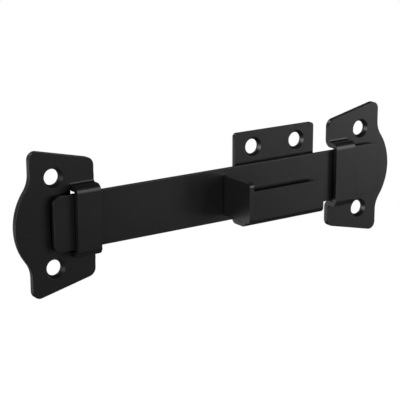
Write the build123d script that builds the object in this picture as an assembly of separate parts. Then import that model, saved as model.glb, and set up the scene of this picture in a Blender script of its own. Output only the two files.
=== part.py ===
from build123d import *
from math import atan2, degrees, sqrt
import os

# Sizes are in millimetres. X runs along the bar, the front faces -Y and +Z is up.
# The origin is midway between the guide plate's two screw holes, on its back face.

# Sheet of the end plates and of the centre bracket
sheet_thickness = 2.6
bracket_thickness = 2.1
bend_radius = 0.5
foot_bend_radius = 1.0
edge_radius = 0.2

# Sliding bar, shown shot home into the keeper
bar_height = 25.7
bar_thickness = 2.0
bar_behind_guide = 22.65
bar_behind_keeper = 30.3
bar_corner_radius = 3.2
bar_front_clearance = 0.3
bar_back_clearance = 1.4
bar_side_clearance = 0.95

# Finger tab, square to the bar
tab_thickness = 2.6
tab_height = 19.4
tab_reach = 20.8
tab_corner_radius = 2.0
tenon_height = 8.0
tab_place = 70.3

# End plates: the guide plate and the keeper plate are one stamping and its mirror
plate_spacing = 136.1
plate_width = 32.2
inner_half_height = 27.1
outer_half_height = 34.5
inner_corner_radius = 4.0
outer_corner_radius = 3.6
bulge_reach = 7.7
bulge_radius = 27.4
hollow_radius = 12.0
strap_width = 12.1

# Centre bracket
bracket_width = 48.0
bracket_place = 102.3
bracket_half_height = 16.45
bracket_rise = 27.9
bracket_corner_radius = 1.8
cover_clearance = 3.1
cover_top = 0.1
cover_corner_radius = 3.5

# Countersunk screw holes
screw_hole_radius = 3.65
countersink_radius = 4.85
hole_land = 0.8
plate_hole_inset = 20.6
plate_hole_rise = 20.9
bracket_hole_spacing = 26.4
bracket_hole_rise = 20.25

# Two coordinates closer than this are the same place
rounding = 0.01

# Places that follow from the sizes above
bend_outside = bend_radius + sheet_thickness
foot_bend_outside = foot_bend_radius + sheet_thickness
bracket_bend_outside = bend_radius + bracket_thickness
bar_back = -(sheet_thickness + bar_back_clearance)
bar_front = bar_back - bar_thickness
strap_inside = bar_front - bar_front_clearance
strap_front = strap_inside - sheet_thickness
loop_half_height = bar_height / 2 + bar_side_clearance
strap_half_height = loop_half_height + sheet_thickness
slit_half_height = loop_half_height + foot_bend_outside
cover_inside = bar_front - cover_clearance
cover_front = cover_inside - bracket_thickness
bracket_floor_top = bracket_thickness - bracket_half_height
guide_edge = plate_hole_inset
keeper_edge = guide_edge + plate_spacing
bar_start = guide_edge - bar_behind_guide
bar_end = keeper_edge + bar_behind_keeper
bracket_centre = guide_edge + bracket_place
tab_centre = guide_edge + tab_place


def screw_hole(x, z, thickness):
    """Cutter for one countersunk hole, with a short straight land at the back of the sheet."""
    sink_depth = thickness - hole_land
    land = Cylinder(screw_hole_radius, 3 * thickness)
    sink = Cone(screw_hole_radius, countersink_radius, sink_depth)
    front = Plane(origin=(x, -thickness, z), z_dir=(0, -1, 0))
    return front * (land + Pos(0, 0, -sink_depth / 2) * sink)


def plate_outline():
    """Outline of an end plate: slanted ends, a straight inner edge at x = 0 and a bulged outer one."""
    bulge_centre = plate_width + bulge_reach - bulge_radius
    hollow_centre = plate_width + hollow_radius
    hollow_rise = sqrt((bulge_radius + hollow_radius) ** 2 - (hollow_centre - bulge_centre) ** 2)
    turn = degrees(atan2(hollow_rise, hollow_centre - bulge_centre))
    bulge = JernArc((plate_width + bulge_reach, 0), (0, 1), bulge_radius, turn)
    hollow = JernArc(bulge @ 1, bulge % 1, hollow_radius, -turn)
    corners = [hollow @ 1, (plate_width, outer_half_height), (0, inner_half_height), (0, 0)]
    half = bulge + hollow + Polyline(*corners)
    outline = make_face(half + mirror(half, about=Plane.XZ))
    corner_bends = ((outer_half_height, outer_corner_radius), (inner_half_height, inner_corner_radius))
    for height, radius in corner_bends:
        outline = fillet([v for v in outline.vertices() if abs(abs(v.Y) - height) < rounding], radius)
    return outline


def strap_section():
    """Section of the strap on Y and Z: the sheet is slit free, stepped forward and stepped back."""
    foot = slit_half_height + sheet_thickness
    upper = [
        (-sheet_thickness, foot),
        (-sheet_thickness, strap_half_height),
        (strap_front, strap_half_height),
    ]
    under = [(strap_inside, loop_half_height), (0, loop_half_height), (0, foot)]
    lower = [(y, -z) for y, z in reversed(upper)]
    below = [(y, -z) for y, z in reversed(under)]
    section = make_face(Polyline(*upper, *lower, *below, *under, close=True))
    bends = (
        (-sheet_thickness, strap_half_height, foot_bend_radius),
        (0, loop_half_height, foot_bend_outside),
        (strap_inside, loop_half_height, bend_radius),
        (strap_front, strap_half_height, bend_outside),
    )
    for y, z, radius in bends:
        section = fillet([v for v in section.vertices() if is_at(v, y, z)], radius)
    return section


def is_at(vertex, y, z):
    """Whether a vertex of the strap's section lies at this depth and this height, above or below."""
    return abs(vertex.X - y) < rounding and abs(abs(vertex.Y) - z) < rounding


def end_plate():
    """End plate with its inner edge at x = 0: outline, lanced strap for the bar, two screw holes."""
    plate = extrude(Plane.XZ * plate_outline(), sheet_thickness)
    plate = fillet(plate.edges().group_by(Axis.Y)[0], edge_radius)
    window_align = (Align.MIN, Align.CENTER, Align.CENTER)
    window = Box(strap_width, 3 * sheet_thickness, 2 * slit_half_height, align=window_align)
    strap = extrude(Plane.YZ * strap_section(), strap_width)
    plate = plate - window + strap
    for z in (-plate_hole_rise, plate_hole_rise):
        plate = plate - screw_hole(plate_hole_inset, z, sheet_thickness)
    return plate


def bracket_section():
    """Section of the centre bracket on Y and Z: back plate, floor under the bar, and front cover."""
    corners = [
        (0, bracket_rise),
        (0, -bracket_half_height),
        (cover_front, -bracket_half_height),
        (cover_front, cover_top),
        (cover_inside, cover_top),
        (cover_inside, bracket_floor_top),
        (-bracket_thickness, bracket_floor_top),
        (-bracket_thickness, bracket_rise),
    ]
    section = make_face(Polyline(*corners, close=True))
    bends = ((bracket_floor_top, bend_radius), (-bracket_half_height, bracket_bend_outside))
    for height, radius in bends:
        section = fillet([v for v in section.vertices() if abs(v.Y - height) < rounding], radius)
    return section


def centre_bracket():
    """Centre bracket, folded from one strip: it carries the bar from below and hides its middle."""
    start = bracket_centre - bracket_width / 2
    bracket = Pos(start, 0, 0) * extrude(Plane.YZ * bracket_section(), bracket_width)
    top_corners = bracket.edges().filter_by(Axis.Y).group_by(Axis.Z)
    bracket = fillet(top_corners[-1], bracket_corner_radius)
    cover_corners = bracket.edges().filter_by(Axis.Y).group_by(Axis.Y)[0]
    bracket = fillet(cover_corners, cover_corner_radius)
    for side in (-1, 1):
        hole_x = bracket_centre + side * bracket_hole_spacing / 2
        bracket = bracket - screw_hole(hole_x, bracket_hole_rise, bracket_thickness)
    return bracket


def tenon():
    """Tenon of the finger tab, through the bar and flush with its back."""
    block = Box(tab_thickness, bar_thickness, tenon_height, align=(Align.CENTER, Align.MIN, Align.CENTER))
    return Pos(tab_centre, bar_front, 0) * block


def slide_bar():
    """Flat bar with rounded ends, slotted for the tab's tenon."""
    length = bar_end - bar_start
    middle = (bar_start + bar_end) / 2
    blank = RectangleRounded(length, bar_height, bar_corner_radius)
    back = Plane(origin=(middle, bar_back, 0), x_dir=(1, 0, 0), z_dir=(0, -1, 0))
    bar = extrude(back * blank, bar_thickness)
    bar = fillet(bar.edges().group_by(Axis.Y)[0], edge_radius)
    bar = fillet(bar.edges().group_by(Axis.Y)[-1], edge_radius)
    return bar - tenon()


def handle_tab():
    """Finger tab, standing square on the bar's front face."""
    start = tab_centre - tab_thickness / 2
    side = Plane(origin=(start, bar_front, 0), x_dir=(0, -1, 0), z_dir=(1, 0, 0))
    blank = Rectangle(tab_reach, tab_height, align=(Align.MIN, Align.CENTER))
    blank = fillet([v for v in blank.vertices() if v.X > tab_reach / 2], tab_corner_radius)
    tab = extrude(side * blank, tab_thickness)
    return tab + tenon()


nodes = {
    "guide_plate": Pos(guide_edge, 0, 0) * mirror(end_plate(), about=Plane.YZ),
    "keeper_plate": Pos(keeper_edge, 0, 0) * end_plate(),
    "centre_bracket": centre_bracket(),
    "slide_bar": slide_bar(),
    "handle_tab": handle_tab(),
}

os.makedirs("parts", exist_ok=True)
for name, solid in nodes.items():
    export_step(solid, f"parts/{name}.step")
    box = solid.bounding_box()
    print(f"{name}: {solid.volume:.1f} mm3, {box.min.X:.2f}..{box.max.X:.2f}, "
          f"{box.min.Y:.2f}..{box.max.Y:.2f}, {box.min.Z:.2f}..{box.max.Z:.2f}")
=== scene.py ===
# %% [markdown]
# # A sliding gate latch, satin black
# The latch is five pieces of steel: two stamped end plates with straps, a folded centre bracket, a flat
# bar and the finger tab that moves it. The imported model already has their true shapes, so this lesson
# gives them their finish, a studio and a camera. Loading the model first fixes the frame: metres, +X
# along the bar, -Y out of the gate towards the viewer, +Z up. Its box is kept, for the latch's centre and
# the floor's height.

# %% Load the imported model
from math import radians, tan

import bpy
from mathutils import Matrix, Vector


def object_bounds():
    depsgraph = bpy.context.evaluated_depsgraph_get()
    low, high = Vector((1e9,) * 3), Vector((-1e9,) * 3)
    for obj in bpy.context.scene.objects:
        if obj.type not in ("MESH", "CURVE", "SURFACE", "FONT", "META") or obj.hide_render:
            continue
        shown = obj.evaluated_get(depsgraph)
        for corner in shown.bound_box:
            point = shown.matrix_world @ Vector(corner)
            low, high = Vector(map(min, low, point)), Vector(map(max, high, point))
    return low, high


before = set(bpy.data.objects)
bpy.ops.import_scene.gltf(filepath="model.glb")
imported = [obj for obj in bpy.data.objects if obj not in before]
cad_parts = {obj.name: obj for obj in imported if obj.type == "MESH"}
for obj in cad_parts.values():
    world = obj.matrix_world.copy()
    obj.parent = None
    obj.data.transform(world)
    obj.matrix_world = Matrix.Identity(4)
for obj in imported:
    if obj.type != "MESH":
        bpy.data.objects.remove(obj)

bpy.context.view_layer.update()
cad_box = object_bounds()
latch_centre = (cad_box[0] + cad_box[1]) / 2
print("latch, in mm:", [round(1000 * side, 1) for side in cad_box[1] - cad_box[0]])

# %% [markdown]
# ## Units and colours
# Sizes on small hardware are easiest to read in millimetres, so one value turns them to Blender's metres.
# Colours are written as the sRGB hex codes that a paint chart gives. Cycles works in linear light, so one
# function turns a code to linear numbers; without it every colour would come out too pale.

# %% Millimetres and hex colours
MM = 0.001


def linear(code):
    """Linear RGBA of an sRGB hex colour."""
    channels = [int(code[i:i + 2], 16) / 255 for i in (1, 3, 5)]
    return [c / 12.92 if c <= 0.04045 else ((c + 0.055) / 1.055) ** 2.4 for c in channels] + [1.0]


print("mid grey #808080 is", round(linear("#808080")[0], 3), "in linear light")

# %% [markdown]
# ## One helper for every node
# A procedural material is a graph. Each node needs the same three things: its type, its settings and what
# feeds its sockets. One small function does all three, whatever the node is. A socket is given by name,
# with _ for a space, or by number as i0 or i1 where several share a name.

# %% Add a node with its settings and links
def add_node(tree, kind, settings=None, **sockets):
    """Add a node; a socket takes a value, or another node's output socket to link from."""
    node = tree.nodes.new("ShaderNode" + kind)
    for key, value in (settings or {}).items():
        setattr(node, key, value)
    for key, value in sockets.items():
        socket = node.inputs[int(key[1:])] if key[1:].isdigit() else node.inputs[key.replace("_", " ")]
        if isinstance(value, bpy.types.NodeSocket):
            tree.links.new(value, socket)
        else:
            socket.default_value = value
    return node


def new_material(name):
    """Material with an empty graph."""
    material = bpy.data.materials.new(name)
    material.use_nodes = True
    material.node_tree.nodes.clear()
    return material


print("helpers:", add_node.__name__, "and", new_material.__name__)

# %% [markdown]
# ## Satin black powder coat on steel
# Powder coat is a polyester or epoxy powder, sprayed on dry and melted in an oven. It flows out to a hard
# plastic film about 0.08 mm thick, so the eye sees no metal: a nearly black body under a clear, evenly
# soft reflection. A Principled shader that isn't metallic, with an IOR of 1.5 and a middle roughness,
# gives that. Two things keep it from looking like plain plastic. The film dries with orange peel, shallow
# ripples one to two millimetres wide, and its gloss and tone vary a little with its thickness. Two noise
# textures draw both: a wide one for the thickness and a fine one for the ripples.

# %% Powder coat: body colour, gloss and orange peel
COAT_BODY = "#0E0E0F"
COAT_BODY_THICK = "#121213"
COAT_IOR = 1.5
COAT_GLOSS_RANGE = (0.31, 0.35)
CLOUD_WIDTH = 14 * MM
CLOUD_DETAIL = 2.0
PEEL_RIPPLE = 1.6 * MM
PEEL_DETAIL = 1.0
PEEL_SOFTNESS = 0.4
PEEL_DEPTH = 0.004 * MM

coat = new_material("satin_black_powder_coat")
tree = coat.node_tree
place = add_node(tree, "TexCoord").outputs["Object"]
cloud = add_node(tree, "TexNoise", Vector=place, Scale=1 / CLOUD_WIDTH, Detail=CLOUD_DETAIL).outputs["Fac"]
peel = add_node(
    tree, "TexNoise", Vector=place, Scale=1 / PEEL_RIPPLE, Detail=PEEL_DETAIL, Roughness=PEEL_SOFTNESS,
).outputs["Fac"]
tone = add_node(
    tree, "Mix", {"data_type": "RGBA"}, Factor=cloud, i6=linear(COAT_BODY), i7=linear(COAT_BODY_THICK),
)
gloss = add_node(tree, "MapRange", Value=cloud, To_Min=COAT_GLOSS_RANGE[0], To_Max=COAT_GLOSS_RANGE[1])
print("orange peel, ripples per cm:", round(10 * MM / PEEL_RIPPLE, 1))

# %% [markdown]
# ## Rounded edges
# The film also rounds every sheared edge a little, which is where the thin bright lines along the sheet
# come from. The Bevel node bends the normal over the last fraction of a millimetre, so the edges catch
# light and the shapes stay as they are. The orange peel goes on top of it as a bump.

# %% Rounded edges and relief
EDGE_ROUNDING = 0.2 * MM
EDGE_SAMPLES = 6

rounded = add_node(tree, "Bevel", {"samples": EDGE_SAMPLES}, Radius=EDGE_ROUNDING)
relief = add_node(tree, "Bump", Strength=1.0, Distance=PEEL_DEPTH, Height=peel, Normal=rounded.outputs[0])
print("edges rounded over, in mm:", EDGE_ROUNDING / MM)

# %% [markdown]
# ## Painted shade in corners and gaps
# The shade at the inside corners and in the narrow gaps is painted into the film. The narrow gaps between
# two pieces look black, since almost no light finds its way out of them, and a render leaves them a
# little too light. The Ambient Occlusion node tells how open a place is, and a Map Range node turns that
# into an amount. One that reaches little more than a millimetre finds the inside corners, such as the
# root of the tab, and takes most of their shine, a painted dark line along the seam. One that reaches
# 20 mm sinks well below the 0.5 of a plain inside corner only in a gap, and takes the shine and the last
# grey of the body there, a painted black shade.

# %% Painted shade in corners and gaps
OPENNESS_SAMPLES = 16
CORNER_REACH = 1.4 * MM
CORNER_OPENNESS = (0.5, 0.75)
PAINTED_SHADE_CORNER_SHINE = 0.2
OPEN_SHINE = 0.5
GAP_REACH = 20 * MM
GAP_OPENNESS = (0.38, 0.52)
GAP_PAINTED_SHADE = "#000000"

# Painted shade: inside corners lose most of their shine, a dark line at the root of the tab.
corner = add_node(tree, "AmbientOcclusion", {"samples": OPENNESS_SAMPLES}, Distance=CORNER_REACH)
painted_corner_shade = add_node(
    tree, "MapRange", Value=corner.outputs["AO"],
    From_Min=CORNER_OPENNESS[0], From_Max=CORNER_OPENNESS[1], To_Min=PAINTED_SHADE_CORNER_SHINE, To_Max=OPEN_SHINE,
)
# Painted shade: gaps lose their shine and their body colour turns black.
gap = add_node(tree, "AmbientOcclusion", {"samples": OPENNESS_SAMPLES}, Distance=GAP_REACH)
openness = add_node(
    tree, "MapRange", Value=gap.outputs["AO"], From_Min=GAP_OPENNESS[0], From_Max=GAP_OPENNESS[1],
)
shine = add_node(
    tree, "Math", {"operation": "MULTIPLY"}, i0=painted_corner_shade.outputs[0], i1=openness.outputs[0],
)
body = add_node(
    tree, "Mix", {"data_type": "RGBA"}, Factor=openness.outputs[0], i6=linear(GAP_PAINTED_SHADE), i7=tone.outputs[2],
)
print("shine in corners and in the open:", PAINTED_SHADE_CORNER_SHINE, "and", OPEN_SHINE)

# %% [markdown]
# ## The film itself
# All of it meets in one Principled shader. It isn't metallic, since the steel is hidden, and it needs no
# clear coat on top, since the film is one layer.

# %% One shader for the film
# The base colour and the shine carry the painted shade of the corners and gaps.
film = add_node(
    tree, "BsdfPrincipled", Base_Color=body.outputs[2], Roughness=gloss.outputs[0], IOR=COAT_IOR,
    Specular_IOR_Level=shine.outputs[0], Normal=relief.outputs[0],
)
add_node(tree, "OutputMaterial", Surface=film.outputs[0])
print("powder coat nodes:", len(tree.nodes))

# %% [markdown]
# ## Coat every piece
# The five pieces are stamped, folded or cut first, and hang together on one coating line, so they all
# wear the same film. The pattern runs in object coordinates, whose unit is the metre, and so it keeps its
# real size on each piece.

# %% Coat the plates, the bracket, the bar and the tab
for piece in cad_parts.values():
    piece.data.materials.clear()
    piece.data.materials.append(coat)
print("coated:", sorted(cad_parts))

# %% [markdown]
# ## A white floor far below
# The latch floats on pure white with no shadow beside it. That is how small hardware is photographed when
# it hangs from a thread, well above a white floor: its shadow falls out of the picture. The floor here is
# matt white paint, far below. It glows only for rays that are seen, which brings it to plain white
# without throwing more light on the latch, and the latch's own shadow still falls on the paint.

# %% White floor
FLOOR_DROP = 8.0
FLOOR_SIDE = 40.0
FLOOR_PAINT = "#F4F4F4"
FLOOR_GLOW = 1.0


def seen_ray(tree):
    """Socket that is 1 for camera, glossy and transmission rays, and 0 for those that only carry light."""
    rays = add_node(tree, "LightPath").outputs
    straight = add_node(
        tree, "Math", {"operation": "MAXIMUM"}, i0=rays["Is Camera Ray"], i1=rays["Is Glossy Ray"],
    )
    both = add_node(
        tree, "Math", {"operation": "MAXIMUM"}, i0=straight.outputs[0], i1=rays["Is Transmission Ray"],
    )
    return both.outputs[0]


paint = new_material("white_floor_paint")
tree = paint.node_tree
matt = add_node(tree, "BsdfDiffuse", Color=linear(FLOOR_PAINT))
glow_strength = add_node(tree, "Math", {"operation": "MULTIPLY"}, i0=seen_ray(tree), i1=FLOOR_GLOW)
glow = add_node(tree, "Emission", Strength=glow_strength.outputs[0])
lit_paint = add_node(tree, "AddShader", i0=matt.outputs[0], i1=glow.outputs[0])
add_node(tree, "OutputMaterial", Surface=lit_paint.outputs[0])

floor_mesh = bpy.data.meshes.new("studio_floor")
half = FLOOR_SIDE / 2
floor_z = cad_box[0].z - FLOOR_DROP
corners = [(x * half, y * half, floor_z) for x, y in ((-1, -1), (1, -1), (1, 1), (-1, 1))]
floor_mesh.from_pydata(corners, [], [(0, 1, 2, 3)])
floor_mesh.materials.append(paint)
floor = bpy.data.objects.new("studio_floor", floor_mesh)
bpy.context.scene.collection.objects.link(floor)
print("floor, in m below the latch:", FLOOR_DROP)

# %% [markdown]
# ## White surroundings
# Beyond the floor the world is white too, for every ray that is seen. For the rays that only carry light
# it is a weak grey, as in a studio whose walls are far off, so that the lamps shape the light.

# %% White world with a weak fill
WORLD_WHITE = 1.0
WORLD_FILL = 0.1
WHITE = linear("#FFFFFF")

world = bpy.data.worlds.new("studio_world")
world.use_nodes = True
tree = world.node_tree
tree.nodes.clear()
fill = add_node(tree, "Background", Color=WHITE, Strength=WORLD_FILL)
white = add_node(tree, "Background", Color=WHITE, Strength=WORLD_WHITE)
backdrop = add_node(tree, "MixShader", i0=seen_ray(tree), i1=fill.outputs[0], i2=white.outputs[0])
add_node(tree, "OutputWorld", Surface=backdrop.outputs[0])
bpy.context.scene.world = world
print("world nodes:", len(tree.nodes))

# %% [markdown]
# ## A dark tent for the reflections
# A black coat shows its surroundings more than its own colour. All white around it, it would turn flat
# grey. So a photographer hangs a dark cloth tent around black goods, and the bright shapes of the lamps
# stand out in their film against it. The tent here is a round one that only reflections can see: it dims
# no lamp, casts no shadow and stays out of the picture.

# %% Dark tent
TENT_RADIUS = 7.5
TENT_SIDES = 48
TENT_TONE = 0.1

tent_cloth = new_material("dark_tent_cloth")
tree = tent_cloth.node_tree
cloth = add_node(tree, "Emission", Strength=TENT_TONE)
add_node(tree, "OutputMaterial", Surface=cloth.outputs[0])

bpy.ops.mesh.primitive_uv_sphere_add(
    segments=TENT_SIDES, ring_count=TENT_SIDES // 2, radius=TENT_RADIUS, location=latch_centre,
)
tent = bpy.context.object
tent.name = "reflection_tent"
tent.data.materials.append(tent_cloth)
tent.visible_camera = False
tent.visible_diffuse = False
tent.visible_transmission = False
tent.visible_shadow = False
print("tent radius, in m:", TENT_RADIUS)

# %% [markdown]
# ## Softboxes
# Six softboxes stand in a wide ring around the latch. Two large ones at the front, left and right of the
# camera, light the faces evenly. A small bright one at the foot of the right one makes the sparks in the
# countersinks. Two behind on the left draw the bright lines along the sheared edges and the bends, and a
# weak one behind serves whoever looks at the back. Each is placed by the direction in which the latch
# sees it, and its size is the angle that it fills, since those two and its brightness are all that a
# reflection shows. They stand far off, so that both ends of the latch see them alike.
#
# An area lamp's watts spread over its surface, so the power that gives a wanted brightness grows with its
# area. One function does that sum, and the brightness stays a plain number to compare.

# %% Softboxes placed by direction
LAMP_DISTANCE = 6.0
WATTS_PER_AREA = 4.0


def softbox(name, around, above, half_angles, brightness):
    """Rectangular lamp that faces the latch; around is from the front (-Y), positive to the right (+X)."""
    heading = Matrix.Rotation(radians(around), 4, "Z") @ Matrix.Rotation(radians(-above), 4, "X")
    direction = heading @ Vector((0, -1, 0))
    light = bpy.data.lights.new(name, "AREA")
    light.shape = "RECTANGLE"
    light.size, light.size_y = [2 * LAMP_DISTANCE * tan(radians(angle)) for angle in half_angles]
    light.energy = WATTS_PER_AREA * light.size * light.size_y * brightness
    lamp = bpy.data.objects.new(name, light)
    lamp.location = latch_centre + LAMP_DISTANCE * direction
    lamp.rotation_euler = direction.to_track_quat("Z", "Y").to_euler()
    lamp.visible_camera = False
    bpy.context.scene.collection.objects.link(lamp)
    print(name, "watts:", round(light.energy, 1))


softbox("front_left_softbox", -53.5, 4, (21.4, 17.2), 3.64)
softbox("front_right_softbox", 43.0, 17.0, (16.4, 18.3), 2.46)
softbox("front_right_spark", 51, -6, (7.4, 6.0), 3.15)
softbox("rear_left_softbox", -139, -23.8, (6.7, 12.5), 1.5)
softbox("rear_left_high_strip", -141, 40.5, (22.5, 5.5), 3.94)
softbox("rear_softbox", 180, -2, (20, 18), 0.8)

# %% [markdown]
# ## Camera
# The camera stands to the left of the latch and a little above, about 66 cm away, with a long lens. Its
# place and turns were found by matching the corners of the plates with the picture. The focal length is
# first known in pixels; a lens of the same view on a sensor of 36 mm follows from the picture's width.

# %% Camera
PICTURE_WIDTH = 400
FOCAL_PIXELS = 1402.45
SENSOR_WIDTH = 36.0
CAMERA_PLACE = (-0.28575, -0.52941, 0.17212)
CAMERA_YAW = radians(34.6424)
CAMERA_PITCH = radians(15.1580)
CAMERA_ROLL = radians(-0.1255)

lens = bpy.data.cameras.new("photo_camera")
lens.sensor_width = SENSOR_WIDTH
lens.lens = FOCAL_PIXELS * SENSOR_WIDTH / PICTURE_WIDTH
camera = bpy.data.objects.new("photo_camera", lens)
aim = Matrix.Rotation(-CAMERA_YAW, 4, "Z") @ Matrix.Rotation(radians(90) - CAMERA_PITCH, 4, "X")
camera.matrix_world = Matrix.Translation(CAMERA_PLACE) @ aim @ Matrix.Rotation(CAMERA_ROLL, 4, "Z")
bpy.context.scene.collection.objects.link(camera)
bpy.context.scene.camera = camera
bpy.context.scene.view_settings.view_transform = "Standard"
print("lens, in mm:", round(lens.lens, 1))
